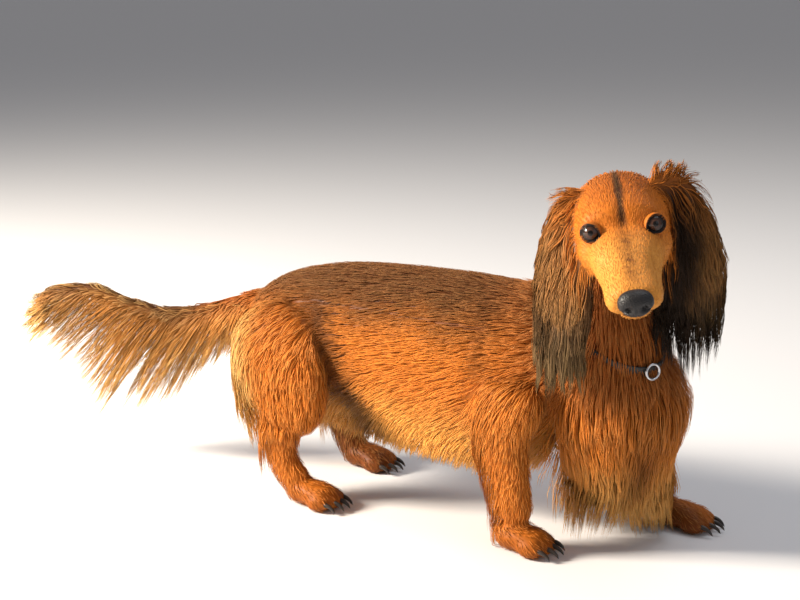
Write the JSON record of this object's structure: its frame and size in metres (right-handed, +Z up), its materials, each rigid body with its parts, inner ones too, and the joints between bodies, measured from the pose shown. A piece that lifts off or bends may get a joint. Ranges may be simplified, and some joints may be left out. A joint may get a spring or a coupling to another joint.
{
  "type": "dachshund",
  "caption": "Life-size still figure of a standing long-haired dachshund with its head turned to its right, wearing a plain collar with a ring.",
  "frame": {"origin": "on the floor, under the middle of the whole outline from above", "axes": "+X from the tail towards the breast, +Y to the dog's left, +Z up"},
  "size_m": [0.7528, 0.2336, 0.3597],
  "materials": {
    "coat_back": "long silky mahogany hair lying back along the body",
    "coat_flank": "long silky orange-red hair, a little wavy",
    "coat_fringe": "long golden feathering in hanging locks",
    "coat_face": "short smooth golden-orange hair with a dark stripe down the forehead",
    "coat_ear": "long straight ear hair, golden brown above and grey-black below",
    "coat_leg": "short orange-brown leg hair with feathering behind",
    "nose_leather": "dark grey-black pebbled nose skin, slightly wet",
    "eye": "dark brown glossy eye",
    "claw_horn": "dark smooth horn",
    "collar_strap": "narrow black strap, matt",
    "collar_steel": "polished steel wire"
  },
  "bodies": {
    "root": {"trunk": "coat_back", "neck": "coat_flank", "breast": "coat_fringe", "head": "coat_face", "lower_jaw": "coat_face", "nose": "nose_leather", "eye_left": "eye", "eye_right": "eye", "ear_left": "coat_ear", "ear_right": "coat_ear", "foreleg_left": "coat_leg", "foreleg_right": "coat_leg", "forepaw_left": "coat_leg", "forepaw_right": "coat_leg", "thigh_left": "coat_flank", "thigh_right": "coat_flank", "hock_left": "coat_leg", "hock_right": "coat_leg", "hindpaw_left": "coat_leg", "hindpaw_right": "coat_leg", "tail_root": "coat_flank", "tail_end": "coat_fringe", "collar_band": "collar_strap", "collar_ring": "collar_steel", "claw_fore_left_1": "claw_horn", "claw_fore_left_2": "claw_horn", "claw_fore_left_3": "claw_horn", "claw_fore_left_4": "claw_horn", "claw_fore_right_1": "claw_horn", "claw_fore_right_2": "claw_horn", "claw_fore_right_3": "claw_horn", "claw_fore_right_4": "claw_horn", "claw_hind_left_1": "claw_horn", "claw_hind_left_2": "claw_horn", "claw_hind_left_3": "claw_horn", "claw_hind_left_4": "claw_horn", "claw_hind_right_1": "claw_horn", "claw_hind_right_2": "claw_horn", "claw_hind_right_3": "claw_horn", "claw_hind_right_4": "claw_horn"}
  },
  "joints": []
}
